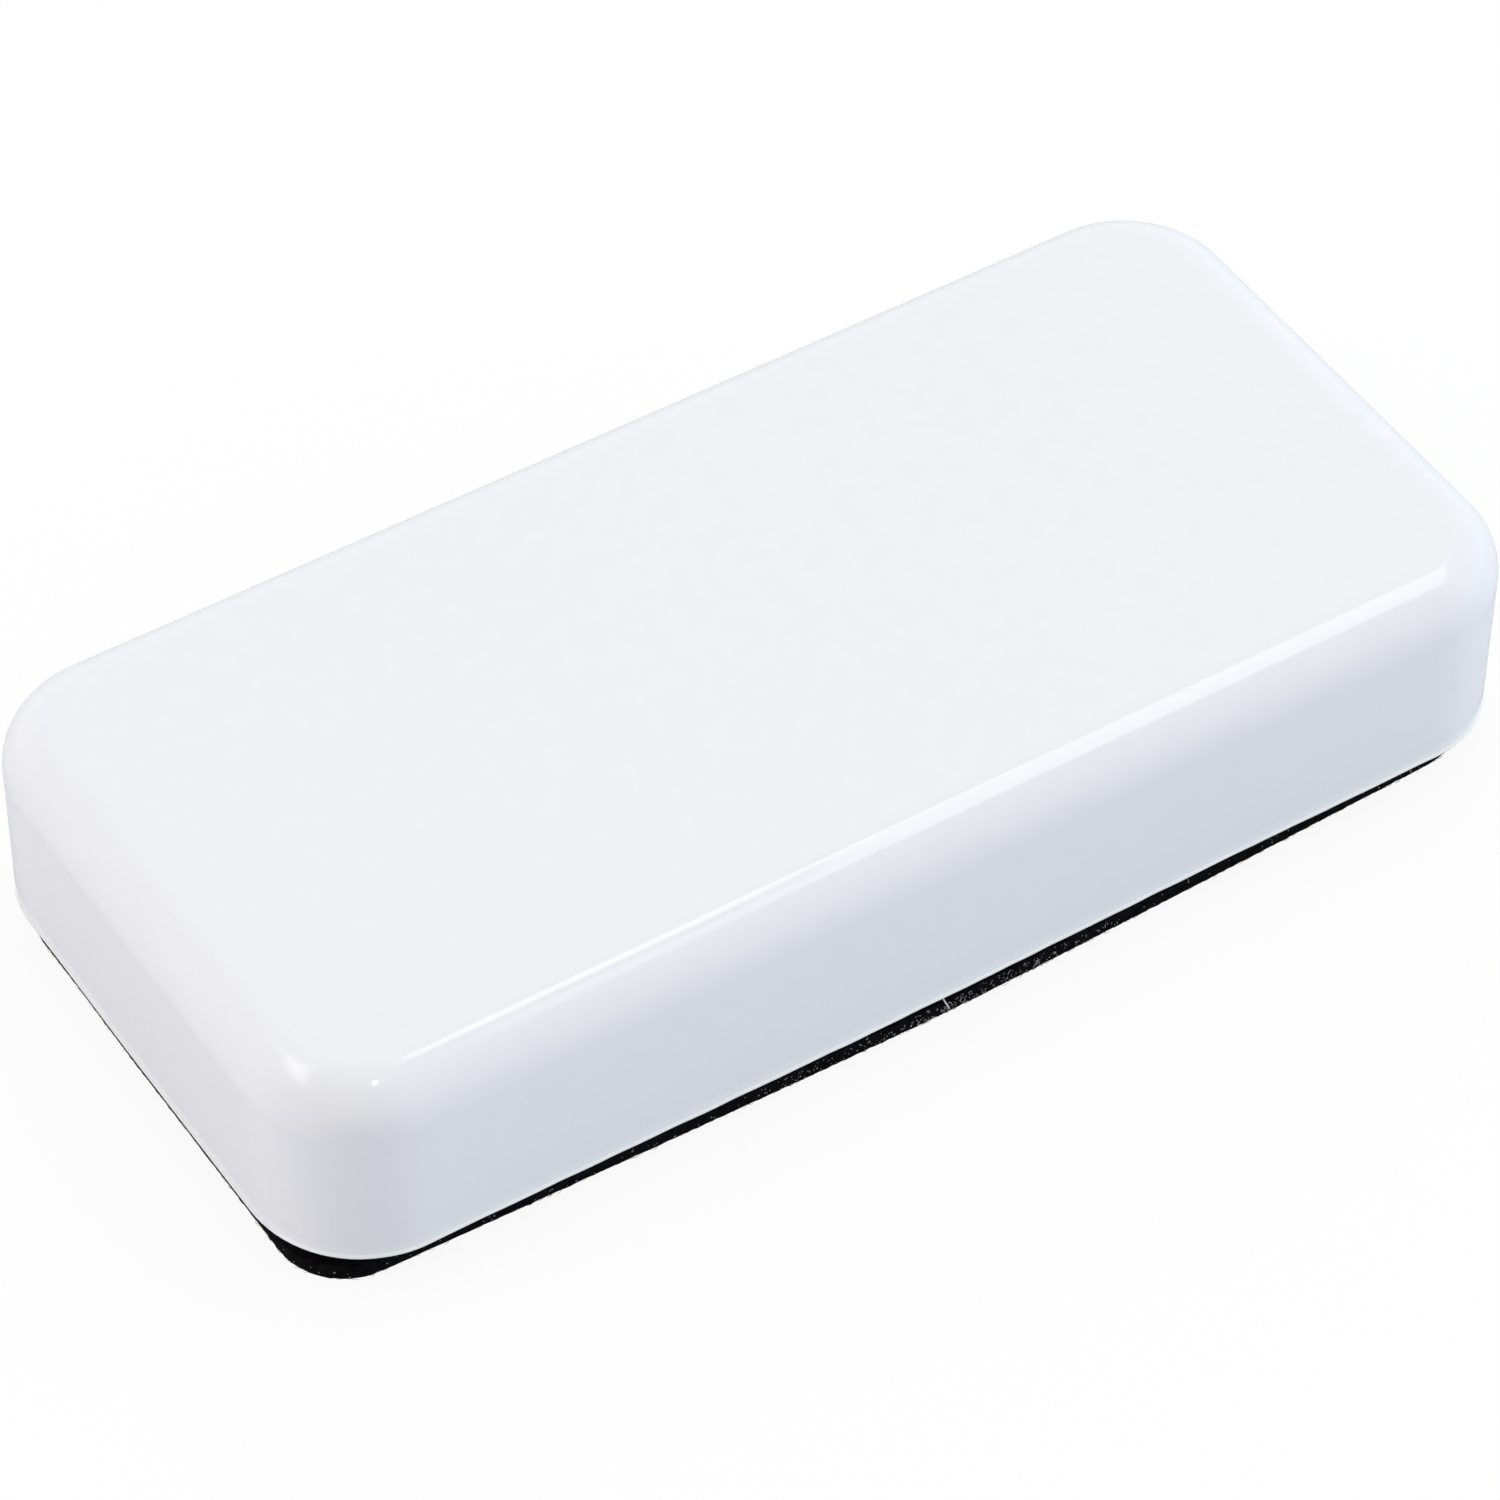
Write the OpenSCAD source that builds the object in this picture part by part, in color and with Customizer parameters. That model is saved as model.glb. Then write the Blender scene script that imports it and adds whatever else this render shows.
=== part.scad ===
// Magnetic board eraser: a moulded plastic shell over a foam core with a felt wiping pad.
// Millimetres, +Z up. The origin is the middle of the wiping face, which rests on Z = 0.
// X runs along the length and -Y faces the front long side.

/* [Shell] */
// Length of the shell at its rim
shell_length = 110; // [96:1:140]
// Width of the shell at its rim
shell_width = 52.4; // [46:0.2:76]
// Height of the shell from its rim to its flat top
shell_height = 17; // [14:0.5:24]
// Radius of the four upright corners at the rim
corner_radius = 9.6; // [8:0.2:16]
// Radius of the rounded edge round the flat top
edge_radius = 4.2; // [3:0.1:6]
// Small radius on the outside of the rim
rim_radius = 0.3; // [0.1:0.05:0.5]
// Draft of the shell's sides, in degrees
side_draft = 0.3; // [0:0.1:1.5]
// Thickness of the shell's side walls
wall_thickness = 1.4; // [1:0.1:2]
// Thickness of the shell's top wall
top_thickness = 1.8; // [1.2:0.1:2.6]

/* [Stiffening ribs] */
// Height of the ribs under the top wall
rib_height = 3; // [1.5:0.1:3.6]
// Thickness of a rib
rib_thickness = 1.2; // [0.8:0.1:2]
// Number of ribs across the shell
cross_ribs = 5; // [1:1:9]
// Number of ribs along the shell
long_ribs = 2; // [1:1:4]

/* [Foam core] */
// Height of foam that shows under the rim
foam_reveal = 1.2; // [0.6:0.1:3]
// Gap between the foam and the inside of the shell
foam_gap = 0.15; // [0.05:0.05:0.4]

/* [Wiping pad] */
// Thickness of the felt
felt_thickness = 1.6; // [1:0.1:4]
// Distance from the rim's outside in to the pad's ends
pad_end_inset = 1.2; // [0.5:0.1:1.4]
// Distance from the rim's outside in to the pad's long sides, near the corners
pad_side_inset = 1.8; // [1.5:0.1:2.4]
// How far each long side bows outwards at its middle
pad_bow = 1.2; // [0.1:0.1:1.4]
// Shape of the bow: 1 is two straight lines that meet at the middle, 2 is a parabola
pad_bow_power = 1.3; // [1:0.1:2]
// Radius of the two corners at the pad's left end
pad_left_radius = 5.2; // [3:0.2:7]
// Radius of the two corners at the pad's right end
pad_right_radius = 8; // [3:0.2:10]

/* [Adhesive] */
// Thickness of both adhesive sheets
sheet_thickness = 0.2; // [0.1:0.05:0.3]
// Distance from the pad's edge in to the felt's adhesive sheet
felt_sheet_margin = 0.3; // [0.1:0.1:2]
// Distance from the foam's edge in to the core's adhesive sheet
core_sheet_margin = 2; // [1:0.5:5]
// Thickness of the glue dab behind each magnet
dab_thickness = 0.3; // [0.1:0.05:0.6]
// Distance from the magnet's edge in to the glue dab's edge
dab_margin = 1.5; // [0.5:0.5:4]

/* [Magnets] */
// Diameter of the disc magnets
magnet_diameter = 20; // [12:1:24]
// Thickness of the disc magnets
magnet_thickness = 4; // [2:0.5:6]
// Distance from the pad's end in to the centre of each magnet
magnet_setback = 25.8; // [20:0.2:34]
// Width of the small bevel on the magnet's edges
magnet_bevel = 0.4; // [0.1:0.1:0.8]
// Gap round each magnet in its pocket
pocket_gap = 0.15; // [0.05:0.05:0.4]
// Gap between a magnet and the felt's adhesive sheet
magnet_recess = 0.2; // [0.1:0.05:0.5]

/* [Hidden] */
$fn = 96;

// Heights, from the wiping face up
felt_sheet_z = felt_thickness;
foam_z = felt_sheet_z + sheet_thickness;
rim_z = foam_z + foam_reveal;
ceiling_z = rim_z + shell_height - top_thickness;
rib_z = ceiling_z - rib_height;
foam_top_z = rib_z - sheet_thickness;

// The shell's inside, taken parallel to its outside
inner_corner = corner_radius - wall_thickness;
inner_edge = max(edge_radius - wall_thickness, 0.5);
cavity_height = shell_height - top_thickness;
mouth_overcut = 1;

// The foam inside the shell, as wide as the drafted cavity is at the foam's top
foam_inset = wall_thickness + (foam_top_z - rim_z) * tan(side_draft) + foam_gap;
foam_length = shell_length - 2 * foam_inset;
foam_width = shell_width - 2 * foam_inset;
foam_corner = corner_radius - foam_inset;

// The pad's die-cut outline
pad_length = shell_length - 2 * pad_end_inset;
pad_width = shell_width - 2 * pad_side_inset;
bow_steps = 12;
corner_steps = 8;

// The magnets' pockets, cut into the foam's lower face
magnet_x = pad_length / 2 - magnet_setback;
magnet_z = foam_z + magnet_recess;
dab_z = magnet_z + magnet_thickness;
pocket_top_z = dab_z + dab_thickness;

// Plan outline: round corners, straight ends and long sides that stand out at the middle.
// left and right are the corners' centres, counted from the middle.
function arc_points(cx, cy, r, from) = [
    for (i = [0 : corner_steps])
        let (a = from + 90 * i / corner_steps)
            [cx + r * cos(a), cy + r * sin(a)]
];
function bow_points(left, right, y, bow, side) = [
    for (i = [1 : bow_steps - 1])
        let (
            t = side * (1 - 2 * i / bow_steps),
            x = t < 0 ? t * left : t * right
        )
            [x, side * (y + bow * (1 - pow(abs(t), pad_bow_power)))]
];
function bowed_outline(length, width, left_r, right_r, bow) =
    let (
        left = length / 2 - left_r,
        right = length / 2 - right_r,
        left_y = width / 2 - left_r,
        right_y = width / 2 - right_r
    )
        concat(
            arc_points(right, right_y, right_r, 0),
            bow_points(left, right, width / 2, bow, 1),
            arc_points(-left, left_y, left_r, 90),
            arc_points(-left, -left_y, left_r, 180),
            bow_points(left, right, width / 2, bow, -1),
            arc_points(right, -right_y, right_r, 270)
        );

// The pad's outline, drawn in by a margin
module pad_plan(margin = 0) {
    polygon(bowed_outline(
        pad_length - 2 * margin,
        pad_width - 2 * margin,
        pad_left_radius - margin,
        pad_right_radius - margin,
        pad_bow
    ));
}

// A rectangle with round corners, centred on the origin
module round_rectangle(length, width, r) {
    square([length - 2 * r, width], center = true);
    square([length, width - 2 * r], center = true);
    for (sx = [-1, 1], sy = [-1, 1])
        translate([sx * (length / 2 - r), sy * (width / 2 - r)])
            circle(r);
}

// Upright section through a shell wall: X out from the corner's centre, Y up from the rim.
// A drafted side, a round top edge tangent to the side and the top, and a rounded rim.
module wall_section(reach, height, edge, rim, bottom) {
    slope = tan(side_draft);
    edge_y = height - edge;
    edge_x = reach - edge_y * slope - edge / cos(side_draft);
    side_x = edge_x + edge * cos(side_draft);
    side_y = edge_y + edge * sin(side_draft);
    rim_x = reach - rim / cos(side_draft) - (bottom + rim) * slope;
    rim_top_x = rim_x + rim * cos(side_draft);
    rim_top_y = bottom + rim + rim * sin(side_draft);
    polygon([
        [0, bottom],
        [rim_x, bottom],
        [rim_top_x, rim_top_y],
        [side_x, side_y],
        [edge_x, height],
        [0, height]
    ]);
    intersection() {
        translate([edge_x, edge_y])
            circle(edge);
        translate([0, edge_y])
            square([reach, edge]);
    }
    if (rim > 0)
        translate([rim_x, bottom + rim])
            circle(rim);
}

// A box with the section above on every side and round its corners
module drafted_box(length, width, corner, height, edge, rim, bottom) {
    core_x = length - 2 * corner;
    core_y = width - 2 * corner;
    translate([-core_x / 2, -core_y / 2, bottom])
        cube([core_x, core_y, height - bottom]);
    for (turn = [0, 1])
        rotate(180 * turn) {
            translate([-core_x / 2, core_y / 2, 0])
                rotate([90, 0, 90])
                    linear_extrude(core_x)
                        wall_section(corner, height, edge, rim, bottom);
            translate([core_x / 2, core_y / 2, 0])
                rotate([90, 0, 0])
                    linear_extrude(core_y)
                        wall_section(corner, height, edge, rim, bottom);
            translate([core_x / 2, core_y / 2, 0])
                rotate_extrude(angle = 90)
                    wall_section(corner, height, edge, rim, bottom);
            translate([-core_x / 2, core_y / 2, 0])
                rotate(90)
                    rotate_extrude(angle = 90)
                        wall_section(corner, height, edge, rim, bottom);
        }
}

// Ribs evenly spaced between the inside walls, running up into the top wall
module rib_lattice() {
    inside_x = shell_length - 2 * wall_thickness;
    inside_y = shell_width - 2 * wall_thickness;
    for (i = [1 : cross_ribs])
        translate([inside_x * (i / (cross_ribs + 1) - 0.5), 0, 0])
            square([rib_thickness, shell_width], center = true);
    for (i = [1 : long_ribs])
        translate([0, inside_y * (i / (long_ribs + 1) - 0.5), 0])
            square([shell_length, rib_thickness], center = true);
}

module shell_cavity() {
    drafted_box(
        shell_length - 2 * wall_thickness,
        shell_width - 2 * wall_thickness,
        inner_corner,
        cavity_height,
        inner_edge,
        0,
        -mouth_overcut
    );
}

module shell() {
    color("white")
        translate([0, 0, rim_z])
            difference() {
                drafted_box(
                    shell_length,
                    shell_width,
                    corner_radius,
                    shell_height,
                    edge_radius,
                    rim_radius,
                    0
                );
                difference() {
                    shell_cavity();
                    translate([0, 0, cavity_height - rib_height])
                        linear_extrude(rib_height + top_thickness / 2)
                            rib_lattice();
                }
            }
}

module core_adhesive_sheet() {
    margin = core_sheet_margin;
    color("gainsboro")
        translate([0, 0, foam_top_z])
            linear_extrude(sheet_thickness)
                round_rectangle(
                    foam_length - 2 * margin,
                    foam_width - 2 * margin,
                    foam_corner - margin
                );
}

module at_magnet(side) {
    translate([side * magnet_x, 0, 0])
        children();
}

module foam_core() {
    color([0.09, 0.09, 0.1])
        difference() {
            union() {
                translate([0, 0, foam_z])
                    linear_extrude(foam_reveal)
                        pad_plan();
                translate([0, 0, foam_z])
                    linear_extrude(foam_top_z - foam_z)
                        round_rectangle(foam_length, foam_width, foam_corner);
            }
            for (side = [-1, 1])
                at_magnet(side)
                    translate([0, 0, foam_z - mouth_overcut])
                        cylinder(
                            h = pocket_top_z - foam_z + mouth_overcut,
                            r = magnet_diameter / 2 + pocket_gap
                        );
        }
}

module magnet(side) {
    r = magnet_diameter / 2;
    b = magnet_bevel;
    color([0.25, 0.25, 0.27])
        at_magnet(side)
            translate([0, 0, magnet_z])
                rotate_extrude()
                    polygon([
                        [0, 0],
                        [r - b, 0],
                        [r, b],
                        [r, magnet_thickness - b],
                        [r - b, magnet_thickness],
                        [0, magnet_thickness]
                    ]);
}

module magnet_glue(side) {
    color("khaki")
        at_magnet(side)
            translate([0, 0, dab_z])
                cylinder(h = dab_thickness, r = magnet_diameter / 2 - dab_margin);
}

module felt_adhesive_sheet() {
    color([0.2, 0.2, 0.2])
        translate([0, 0, felt_sheet_z])
            linear_extrude(sheet_thickness)
                pad_plan(felt_sheet_margin);
}

module felt_pad() {
    color([0.13, 0.13, 0.14])
        linear_extrude(felt_thickness)
            pad_plan();
}

shell();
core_adhesive_sheet();
foam_core();
magnet_glue(-1);  // magnet_glue_left
magnet_glue(1);  // magnet_glue_right
magnet(-1);  // magnet_left
magnet(1);  // magnet_right
felt_adhesive_sheet();
felt_pad();
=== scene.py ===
import math

import bmesh
import bpy
import numpy as np
from mathutils import Matrix, Vector, noise


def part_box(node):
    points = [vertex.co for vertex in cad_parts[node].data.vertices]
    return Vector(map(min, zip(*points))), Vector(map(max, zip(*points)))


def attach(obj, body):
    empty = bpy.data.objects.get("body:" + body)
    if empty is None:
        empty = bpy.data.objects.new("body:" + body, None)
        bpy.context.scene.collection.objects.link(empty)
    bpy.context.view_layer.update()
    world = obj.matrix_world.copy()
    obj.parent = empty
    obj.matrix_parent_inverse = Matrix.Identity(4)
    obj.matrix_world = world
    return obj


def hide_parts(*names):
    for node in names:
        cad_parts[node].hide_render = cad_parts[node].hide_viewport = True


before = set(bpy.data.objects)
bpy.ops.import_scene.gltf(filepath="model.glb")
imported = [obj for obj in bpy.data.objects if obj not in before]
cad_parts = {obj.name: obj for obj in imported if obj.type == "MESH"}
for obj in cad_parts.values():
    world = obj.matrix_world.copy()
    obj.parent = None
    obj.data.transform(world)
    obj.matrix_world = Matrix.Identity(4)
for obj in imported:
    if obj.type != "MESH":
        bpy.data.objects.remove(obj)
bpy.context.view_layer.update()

# noise_vector takes its offsets from this seed, and from the clock without one
noise.seed_set(1)

MM = 0.001

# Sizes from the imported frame
SHELL_LOW, SHELL_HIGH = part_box("shell")
FOAM_LOW, FOAM_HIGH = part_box("foam_core")
FELT_LOW, FELT_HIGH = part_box("felt_pad")
FILM_LOW, FILM_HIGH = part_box("felt_adhesive_sheet")
MAGNET_LOW, MAGNET_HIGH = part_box("magnet_right")
DAB_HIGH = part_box("magnet_glue_right")[1]
RIM_Z = SHELL_LOW.z
TOP_Z = SHELL_HIGH.z

# Moulded shell
CORNER_RADIUS = 9.6 * MM
EDGE_RADIUS = 4.2 * MM
EDGE_HOLD = 0.15 * MM
RIM_RADIUS = 0.15 * MM
RIM_LIP = 0.1 * MM
RIM_LIP_HEIGHT = 0.3 * MM
WALL = 1.4 * MM
TOP_WALL = 1.8 * MM
DRAFT = math.radians(0.3)
RIB_HEIGHT = 3.0 * MM
RIB_THICKNESS = 1.2 * MM
CROSS_RIBS = 5
LONG_RIBS = 2

# How the moulding's long sides stand out near their middle, how its ends draw in, where
# they are a little hollow along Y, and its rim's unevenness; a power says how soon each of
# these fades away from the sides, the ends or the rim
SIDE_BOW = 0.26 * MM
BOW_MIDDLE = -7.0 * MM
BOW_REACH = 40.0 * MM
SIDE_DRAW_IN = 0.04 * MM
SIDE_POWER = 3
END_DRAW_IN = 0.24 * MM
END_HOLLOW = 0.11 * MM
HOLLOW_MIDDLE = 14.0 * MM
HOLLOW_REACH = 14.0 * MM
END_POWER = 16
RIM_WAVE = 0.05 * MM
RIM_WAVE_LENGTH = 2.4 * MM
RIM_WAVE_POWER = 12

# Where a painted highlight lightens the rim's colour: up to just above its lip, and along the long
# sides only
RIM_HIGHLIGHT_FADE = (0.42 * MM, 0.5 * MM)
SIDE_HIGHLIGHT_FADE = (18.5 * MM, 20.5 * MM)

# Pad: the outline that the foam below the rim, the felt and their adhesive sheet share
PAD_LEFT_RADIUS = 5.5 * MM
PAD_FAR_LEFT_RADIUS = 8.0 * MM
PAD_RIGHT_RADIUS = 8.0 * MM
PAD_BOW = 1.2 * MM
PAD_BOW_POWER = 1.3
PAD_END_TRIM = 0.03 * MM
PAD_END_POWER = 8
FILM_INSET = 0.05 * MM

# Foam: its block in the shell, its bulging edge below the rim, and how far and at what size
# that edge is uneven
FOAM_CORNER_RADIUS = 7.95 * MM
FOAM_BLOCK_HALF = Vector((53.37, 24.57)) * MM
FOAM_INSET = 0.1 * MM
FOAM_BULGE = 0.12 * MM
FOAM_UNEVEN = (0.035 * MM, 0.6 * MM)
RIM_GAP = 0.02 * MM
POCKET_GAP = 0.15 * MM
POCKET_OVERCUT = 1.0 * MM

# Felt: how far it spreads when cut, how far its sheet lies above the tips of its fibres, how
# far and over what share of its thickness its edges are rounded, and how it is uneven
FELT_SPREAD = 0.1 * MM
FELT_LIFT = 0.03 * MM
FELT_ROUNDING, FELT_ROUNDED_SHARE = 0.14 * MM, 0.14
FELT_TOP_ROUNDING, FELT_TOP_ROUNDED_SHARE = 0.06 * MM, 0.1
FELT_UNEVEN = (0.05 * MM, 0.5 * MM)

# Loose fibres: how many are tried, the seeds of their random draws, how many lengths and
# sides each has, and where lint gathers: round the middle of the front, in patches
EDGE_FIBRES, EDGE_SEED = 5200, 11
FACE_FIBRES, FACE_SEED = 6800, 12
LINT_FIBRES, LINT_SEED = 9000, 13
FIBRE_STEPS = 5
FIBRE_SIDES = 3
FRONT_Y = -20.0 * MM
LINT_REACH = 10.0 * MM
LINT_PATCH = 7.0 * MM
THREAD_RADIUS = 0.07 * MM

# Camera: where it stands round the middle of the rim, in degrees and metres, and its lens
CAMERA_AZIMUTH = -33.473
CAMERA_ELEVATION = 46.302
CAMERA_ROLL = 0.795
CAMERA_DISTANCE = 525.5 * MM
CAMERA_ASIDE = -0.741 * MM
CAMERA_UP = 2.144 * MM
CAMERA_LENS = 163.6
SENSOR_WIDTH = 36

# Floor: its colour as a light on the object, how far it goes each way and lies below the
# felt, how much of its shadow shows, and how much of its white shows in reflections
FLOOR_COLOUR = (0.5, 0.54, 0.62, 1)
FLOOR_REACH = 3.0
FLOOR_DROP = 0.01 * MM
SHADOW_SHARE = 0.09
WHITE_IN_GLOSS = 0.4

# Lamps, each a little above the last: name, place, size, brightness, turn in degrees
LAMP_HEIGHT = 0.4
LAMP_STEP = 0.001
LAMPS = [
    ("left_core", (-0.215, 0.100), (0.10, 0.06), 1.0, 30),
    ("left_box", (-0.235, 0.092), (0.26, 0.10), 1.7, 30),
    ("left_glow", (-0.260, 0.100), (0.42, 0.17), 0.75, 30),
    ("line_start", (0.1125, 0.055), (0.055, 0.080), 3.0, 0),
    ("line_end", (0.165, 0.076), (0.050, 0.045), 3.0, 0),
    ("right_strip", (0.260, 0.071), (0.140, 0.055), 2.1, 0),
    ("right_box", (0.240, -0.050), (0.18, 0.19), 2.2, 0),
    ("right_edge", (0.125, -0.110), (0.05, 0.12), 1.2, 0),
    ("left_spark", (-0.037, -0.124), (0.07, 0.020), 9.0, 67),
    ("right_spark", (0.387, -0.050), (0.014, 0.014), 8.0, 0),
]

# Soft light from the room: how narrow each lobe is, and their directions and colours
SKY_POWER = 8
SKY = [
    ((0.853, -0.492, 0.174), (3.94, 4.11, 4.29)),
    ((-0.853, 0.492, 0.174), (2.59, 2.51, 2.42)),
    ((-0.492, -0.853, 0.174), (1.75, 1.72, 1.79)),
    ((0.372, 0.644, 0.669), (1.57, 1.67, 1.77)),
    ((0.492, 0.853, 0.174), (1.36, 1.26, 1.22)),
    ((-0.985, 0.000, 0.174), (1.38, 1.22, 1.05)),
]


# ---------------------------------------------------------------- meshes

def mesh_object(name, points, faces, material):
    """A smooth-shaded piece that rides on the one CAD body."""
    mesh = bpy.data.meshes.new(name)
    mesh.from_pydata([tuple(p) for p in points], [], faces)
    mesh.validate()
    mesh.update()
    mesh.polygons.foreach_set("use_smooth", [True] * len(mesh.polygons))
    mesh.materials.append(material)
    piece = bpy.data.objects.new(name, mesh)
    bpy.context.scene.collection.objects.link(piece)
    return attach(piece, "root")


def round_outline(half_x, half_y, radii, counts, bow=0.0):
    """Points round a rectangle whose long sides stand out at their middle.

    radii are those of its far right, far left, near left and near right corners. The first
    point is at the middle of the right end, so point i faces point -i across the X axis.
    """
    along_x, along_y, corner = counts
    points = []
    for quarter in range(4):
        sx = 1 if quarter in (0, 3) else -1
        sy = 1 if quarter in (0, 1) else -1
        radius, next_radius = radii[quarter], radii[(quarter + 1) % 4]
        for i in range(corner):
            a = math.radians(90 * quarter + 90 * i / corner)
            points.append((
                sx * (half_x - radius) + radius * math.cos(a),
                sy * (half_y - radius) + radius * math.sin(a),
            ))
        on_long_side = quarter in (0, 2)
        side = 1 if quarter in (0, 1) else -1
        steps = along_x if on_long_side else along_y
        for i in range(steps):
            t = side * (1 - 2 * i / steps)
            nearest = radius if t * side > 0 else next_radius
            if on_long_side:
                out = bow * (1 - abs(t) ** PAD_BOW_POWER)
                points.append((t * (half_x - nearest), side * (half_y + out)))
            else:
                points.append((-side * half_x, t * (half_y - nearest)))
    return np.roll(points, along_y // 2, axis=0)


def ring(outline, z):
    """A plan outline as points at one height."""
    return np.column_stack([outline, np.full(len(outline), z)])


def closing_rings(outline, z, steps):
    """Rings that draw a flat face in from its outline to a line along its middle."""
    half_x, half_y = np.abs(outline).max(axis=0)
    facing = np.roll(outline[::-1], 1, axis=0)
    middle = (outline[:, 0] + facing[:, 0]) / 2
    spine = np.column_stack([
        np.clip(middle, half_y - half_x, half_x - half_y),
        np.zeros(len(outline)),
    ])
    shares = [i / steps for i in range(1, steps + 1)]
    return [ring(outline * (1 - t) + spine * t, z) for t in shares]


def loft(name, rings, material, change=None):
    """A closed skin through rings that all have the same number of points."""
    count = len(rings[0])
    points = np.vstack(rings)
    if change:
        points = change(points)
    faces = []
    for r in range(len(rings) - 1):
        for i in range(count):
            j = (i + 1) % count
            low, high = r * count, (r + 1) * count
            faces.append((low + i, low + j, high + j, high + i))
    piece = mesh_object(name, points, faces, material)
    tidy_mesh(piece)
    return piece


def tidy_mesh(piece):
    """Welds doubled points, drops flat faces and turns every face outwards."""
    bm = bmesh.new()
    bm.from_mesh(piece.data)
    bmesh.ops.remove_doubles(bm, verts=bm.verts, dist=1e-7)
    bmesh.ops.dissolve_degenerate(bm, edges=bm.edges, dist=1e-8)
    bmesh.ops.recalc_face_normals(bm, faces=bm.faces)
    bm.to_mesh(piece.data)
    bm.free()
    piece.data.polygons.foreach_set("use_smooth", [True] * len(piece.data.polygons))


# ---------------------------------------------------------------- materials

class Nodes:
    """Short calls for building one material's node tree."""

    def __init__(self, name):
        self.material = bpy.data.materials.new(name)
        self.material.use_nodes = True
        self.tree = self.material.node_tree
        self.tree.nodes.clear()
        self.output = self.tree.nodes.new("ShaderNodeOutputMaterial")
        self.shader = self.tree.nodes.new("ShaderNodeBsdfPrincipled")
        self.link(self.shader.outputs[0], self.output.inputs["Surface"])
        self.place = self.tree.nodes.new("ShaderNodeTexCoord").outputs["Object"]

    def link(self, source, socket):
        """Joins an output to an input."""
        self.tree.links.new(source, socket)

    def put(self, socket, value):
        """Sets an input to a number or colour, or joins it to an output."""
        if isinstance(value, bpy.types.NodeSocket):
            self.link(value, socket)
        else:
            socket.default_value = value

    def set(self, **values):
        """Puts values into the shader's inputs, named with _ for a space."""
        for name, value in values.items():
            self.put(self.shader.inputs[name.replace("_", " ")], value)

    def scaled(self, size, stretch=(1, 1, 1)):
        """A point's place in units of size metres, each axis times its stretch."""
        mapping = self.tree.nodes.new("ShaderNodeMapping")
        mapping.inputs["Scale"].default_value = [s / size for s in stretch]
        self.link(self.place, mapping.inputs["Vector"])
        return mapping.outputs[0]

    def noise(self, size, detail=2.0, roughness=0.5, stretch=(1, 1, 1)):
        """Noise whose features are about size metres across."""
        node = self.tree.nodes.new("ShaderNodeTexNoise")
        node.inputs["Scale"].default_value = 1.0
        node.inputs["Detail"].default_value = detail
        node.inputs["Roughness"].default_value = roughness
        self.link(self.scaled(size, stretch), node.inputs["Vector"])
        return node.outputs["Fac"]

    def axis(self, name):
        """A point's place along X, Y or Z, in metres."""
        split = self.tree.nodes.new("ShaderNodeSeparateXYZ")
        self.link(self.place, split.inputs[0])
        return split.outputs[name]

    def cells(self, size):
        """Distance to the middle of the nearest of cells about size metres across."""
        node = self.tree.nodes.new("ShaderNodeTexVoronoi")
        node.inputs["Scale"].default_value = 1.0
        self.link(self.scaled(size), node.inputs["Vector"])
        return node.outputs["Distance"]

    def remap(self, value, low, high, to_low, to_high):
        """Turns a value from low to high into one from to_low to to_high, and holds it there."""
        node = self.tree.nodes.new("ShaderNodeMapRange")
        self.put(node.inputs["Value"], value)
        for name, number in zip(
            ("From Min", "From Max", "To Min", "To Max"), (low, high, to_low, to_high)
        ):
            node.inputs[name].default_value = number
        return node.outputs["Result"]

    def math(self, operation, a, b=0.0):
        """One of the Math node's operations."""
        node = self.tree.nodes.new("ShaderNodeMath")
        node.operation = operation
        self.put(node.inputs[0], a)
        self.put(node.inputs[1], b)
        return node.outputs[0]

    def blend(self, share, a, b):
        """Colour a where share is 0 and colour b where it is 1."""
        node = self.tree.nodes.new("ShaderNodeMix")
        node.data_type = "RGBA"
        self.put(node.inputs["Factor"], share)
        for socket, colour in ((node.inputs[6], a), (node.inputs[7], b)):
            self.put(socket, colour if isinstance(colour, bpy.types.NodeSocket) else (*colour, 1))
        return node.outputs[2]

    def bump(self, height, depth, below=None):
        """A bump of depth metres where height goes from 0 to 1, over another bump."""
        node = self.tree.nodes.new("ShaderNodeBump")
        node.inputs["Strength"].default_value = 1.0
        node.inputs["Distance"].default_value = depth
        self.link(height, node.inputs["Height"])
        if below:
            self.link(below, node.inputs["Normal"])
        return node.outputs[0]


def white_plastic():
    """Glossy moulded plastic: faint flow mottling, orange peel, hairline scuffs, a painted
    highlight along the rim.
    """
    n = Nodes("white_plastic")
    mottle = n.noise(2.2 * MM, detail=4, roughness=0.6)
    cloud = n.noise(24 * MM, detail=2)
    base = n.blend(
        n.remap(mottle, 0.35, 0.65, 0, 1), (0.85, 0.862, 0.892), (0.866, 0.876, 0.902)
    )
    base = n.blend(n.remap(cloud, 0.3, 0.7, 0, 0.4), base, (0.875, 0.881, 0.903))
    # Painted highlight: the base colour turns near white along the rim of the long sides
    rim = n.remap(n.axis("Z"), *(RIM_Z + height for height in RIM_HIGHLIGHT_FADE), 1, 0)
    along_sides = n.remap(n.math("ABSOLUTE", n.axis("Y")), *SIDE_HIGHLIGHT_FADE, 0, 1)
    base = n.blend(n.math("MULTIPLY", rim, along_sides), base, (0.96, 1.0, 1.0))
    scuff = n.noise(0.5 * MM, detail=3, stretch=(0.06, 1.2, 1.0))
    peel = n.noise(1.1 * MM, detail=2)
    normal = n.bump(peel, 0.0007 * MM)
    normal = n.bump(scuff, 0.0002 * MM, below=normal)
    n.set(
        Base_Color=base,
        Roughness=n.remap(mottle, 0.3, 0.7, 0.07, 0.11),
        Normal=normal,
    )
    n.set(IOR=1.49, Specular_IOR_Level=0.5)
    return n.material


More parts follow.
